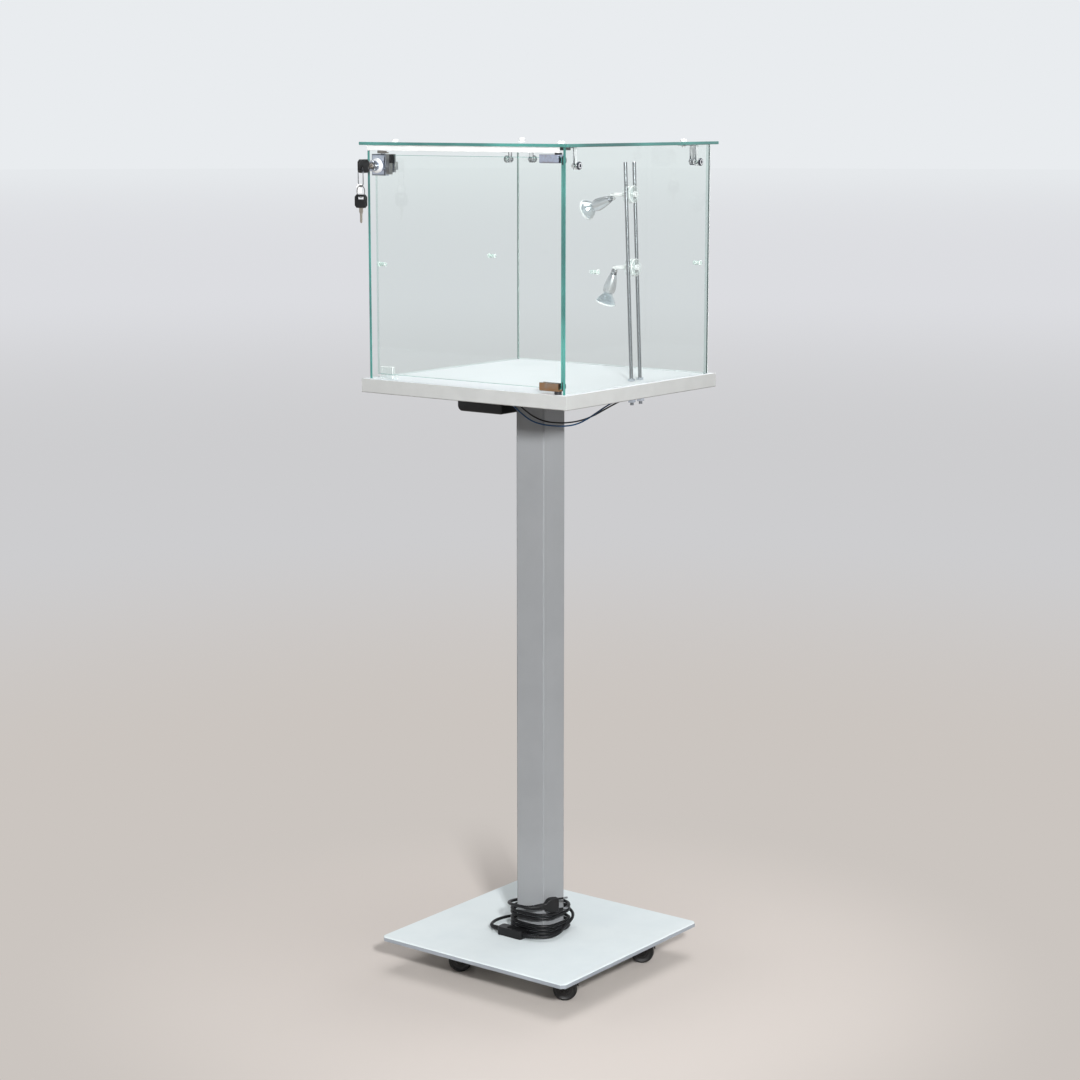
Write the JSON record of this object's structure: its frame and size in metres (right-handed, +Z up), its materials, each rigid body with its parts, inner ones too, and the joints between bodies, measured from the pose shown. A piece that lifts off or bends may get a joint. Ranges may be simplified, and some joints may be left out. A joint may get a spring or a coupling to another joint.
{
  "type": "pedestal display case",
  "caption": "Glass showcase with a locking pivot door and two aimable lamps on a rod pair, on a square column with a base plate that rolls on twin-wheel casters.",
  "frame": {"origin": "on the floor under the column's axis, which is the centre of the base plate and of the deck", "axes": "+Z up; the door faces -Y; its hinges are at +X and its lock at -X"},
  "size_m": [0.43, 0.4812, 1.448],
  "materials": {
    "base_metal": "satin pale grey",
    "column_metal": "satin silver grey",
    "steel": "zinc plated",
    "rubber": "matt",
    "black_plastic": "semi-gloss",
    "wheel_plastic": "matt",
    "white_laminate": "satin laminate",
    "edge_band": "satin",
    "glass": "clear with a green edge",
    "white_plastic": "semi-gloss",
    "grey_metal": "dull",
    "clear_plastic": "clear acrylic",
    "chrome": "polished",
    "white_metal": "gloss",
    "satin_metal": "satin",
    "lamp_glass": "clear reflector glass",
    "blue_wire": "satin",
    "cord_black": "satin"
  },
  "bodies": {
    "frame": {"base_plate": "base_metal", "column": "column_metal", "column_end_plates": "steel", "assembly_screws": "steel", "cord_grommets": "rubber", "caster_stems": "steel", "deck": "white_laminate", "deck_edge_bands": "edge_band", "left_glass": "glass", "right_glass": "glass", "back_glass": "glass", "top_glass": "glass", "header_rail": "white_plastic", "lock_strike": "grey_metal", "door_stop": "clear_plastic", "shelf_pins": "clear_plastic", "corner_brackets": "chrome", "bracket_caps": "white_plastic", "bracket_knobs": "chrome", "pivot_bushes": "black_plastic", "lamp_rods": "chrome", "rod_fittings": "chrome", "transformer": "black_plastic", "blue_wire": "blue_wire", "black_wire": "cord_black", "inner_lead": "cord_black", "cord_lower_coil": "cord_black", "cord_switch": "black_plastic", "cord_upper_coil": "cord_black", "plug": "black_plastic"},
    "caster_front_left": {"caster_hood_front_left": "black_plastic"},
    "wheel_front_left_a": {"wheel_front_left_a": "wheel_plastic"},
    "wheel_front_left_b": {"wheel_front_left_b": "wheel_plastic"},
    "caster_front_right": {"caster_hood_front_right": "black_plastic"},
    "wheel_front_right_a": {"wheel_front_right_a": "wheel_plastic"},
    "wheel_front_right_b": {"wheel_front_right_b": "wheel_plastic"},
    "caster_rear_right": {"caster_hood_rear_right": "black_plastic"},
    "wheel_rear_right_a": {"wheel_rear_right_a": "wheel_plastic"},
    "wheel_rear_right_b": {"wheel_rear_right_b": "wheel_plastic"},
    "caster_rear_left": {"caster_hood_rear_left": "black_plastic"},
    "wheel_rear_left_a": {"wheel_rear_left_a": "wheel_plastic"},
    "wheel_rear_left_b": {"wheel_rear_left_b": "wheel_plastic"},
    "door": {"door_glass": "glass", "hinge_clamps": "chrome", "hinge_pins": "steel", "lock_case": "chrome"},
    "lock": {"lock_plug": "steel", "lock_cam": "steel", "lock_key": "black_plastic"},
    "ring": {"key_ring": "chrome"},
    "spare": {"spare_key": "black_plastic"},
    "upper_slider": {"upper_lamp_clamp": "clear_plastic"},
    "upper_swivel": {"upper_lamp_arm": "white_metal"},
    "upper_head": {"upper_lamp_body": "satin_metal", "upper_lamp_bulb": "lamp_glass"},
    "lower_slider": {"lower_lamp_clamp": "clear_plastic"},
    "lower_swivel": {"lower_lamp_arm": "white_metal"},
    "lower_head": {"lower_lamp_body": "satin_metal", "lower_lamp_bulb": "lamp_glass"},
    "rocker": {"switch_rocker": "black_plastic"}
  },
  "joints": [
    {"name": "door_hinge", "type": "hinge", "parent": "frame", "child": "door", "pos_m": [0.189, -0.2025, 1.059], "axis": [0, 0, 1], "range_deg": [0, 110]},
    {"name": "lock_turn", "type": "hinge", "parent": "door", "child": "lock", "pos_m": [-0.175, -0.2301, 1.4055], "axis": [0, -1, 0], "range_deg": [0, 90]},
    {"name": "ring_swing", "type": "hinge", "parent": "lock", "child": "ring", "pos_m": [-0.175, -0.2561, 1.40205], "axis": [1, 0, 0], "range_deg": [-60, 10]},
    {"name": "spare_swing", "type": "hinge", "parent": "ring", "child": "spare", "pos_m": [-0.175, -0.2561, 1.37245], "axis": [1, 0, 0], "range_deg": [-35, 15]},
    {"name": "upper_lamp_slide", "type": "slide", "parent": "frame", "child": "upper_slider", "axis": [-0.0419, 0, 0.9991], "range_m": [-0.01, 0.036]},
    {"name": "upper_lamp_swivel", "type": "hinge", "parent": "upper_slider", "child": "upper_swivel", "pos_m": [0.1591, 0.0365, 1.35873], "axis": [0.9991, 0, 0.0419], "range_deg": [-80, 80]},
    {"name": "upper_lamp_tilt", "type": "hinge", "parent": "upper_swivel", "child": "upper_head", "pos_m": [0.12234, 0.0365, 1.35218], "axis": [0, 1, 0], "range_deg": [-58, 36]},
    {"name": "lower_lamp_slide", "type": "slide", "parent": "frame", "child": "lower_slider", "axis": [-0.0419, 0, 0.9991], "range_m": [-0.1, 0.01]},
    {"name": "lower_lamp_swivel", "type": "hinge", "parent": "lower_slider", "child": "lower_swivel", "pos_m": [0.16413, 0.0365, 1.23883], "axis": [0.9991, 0, 0.0419], "range_deg": [-80, 80]},
    {"name": "lower_lamp_tilt", "type": "hinge", "parent": "lower_swivel", "child": "lower_head", "pos_m": [0.12737, 0.0365, 1.23229], "axis": [0, 1, 0], "range_deg": [-15, 86]},
    {"name": "caster_front_left_turn", "type": "hinge", "parent": "frame", "child": "caster_front_left", "pos_m": [-0.115, -0.115, 0.047], "axis": [0, 0, 1], "continuous": true},
    {"name": "wheel_front_left_a_spin", "type": "hinge", "parent": "caster_front_left", "child": "wheel_front_left_a", "pos_m": [-0.10595, -0.09378, 0.021], "axis": [-0.6018, 0.7986, 0], "continuous": true},
    {"name": "wheel_front_left_b_spin", "type": "hinge", "parent": "caster_front_left", "child": "wheel_front_left_b", "pos_m": [-0.09211, -0.11215, 0.021], "axis": [-0.6018, 0.7986, 0], "continuous": true},
    {"name": "caster_front_right_turn", "type": "hinge", "parent": "frame", "child": "caster_front_right", "pos_m": [0.115, -0.115, 0.047], "axis": [0, 0, 1], "continuous": true},
    {"name": "wheel_front_right_a_spin", "type": "hinge", "parent": "caster_front_right", "child": "wheel_front_right_a", "pos_m": [0.12405, -0.09378, 0.021], "axis": [-0.6018, 0.7986, 0], "continuous": true},
    {"name": "wheel_front_right_b_spin", "type": "hinge", "parent": "caster_front_right", "child": "wheel_front_right_b", "pos_m": [0.13789, -0.11215, 0.021], "axis": [-0.6018, 0.7986, 0], "continuous": true},
    {"name": "caster_rear_right_turn", "type": "hinge", "parent": "frame", "child": "caster_rear_right", "pos_m": [0.115, 0.115, 0.047], "axis": [0, 0, 1], "continuous": true},
    {"name": "wheel_rear_right_a_spin", "type": "hinge", "parent": "caster_rear_right", "child": "wheel_rear_right_a", "pos_m": [0.12405, 0.13622, 0.021], "axis": [-0.6018, 0.7986, 0], "continuous": true},
    {"name": "wheel_rear_right_b_spin", "type": "hinge", "parent": "caster_rear_right", "child": "wheel_rear_right_b", "pos_m": [0.13789, 0.11785, 0.021], "axis": [-0.6018, 0.7986, 0], "continuous": true},
    {"name": "caster_rear_left_turn", "type": "hinge", "parent": "frame", "child": "caster_rear_left", "pos_m": [-0.115, 0.115, 0.047], "axis": [0, 0, 1], "continuous": true},
    {"name": "wheel_rear_left_a_spin", "type": "hinge", "parent": "caster_rear_left", "child": "wheel_rear_left_a", "pos_m": [-0.10595, 0.13622, 0.021], "axis": [-0.6018, 0.7986, 0], "continuous": true},
    {"name": "wheel_rear_left_b_spin", "type": "hinge", "parent": "caster_rear_left", "child": "wheel_rear_left_b", "pos_m": [-0.09211, 0.11785, 0.021], "axis": [-0.6018, 0.7986, 0], "continuous": true},
    {"name": "switch_rock", "type": "hinge", "parent": "frame", "child": "rocker", "pos_m": [-0.017, -0.06, 0.08], "axis": [0, -1, 0], "range_deg": [0, 12]}
  ]
}
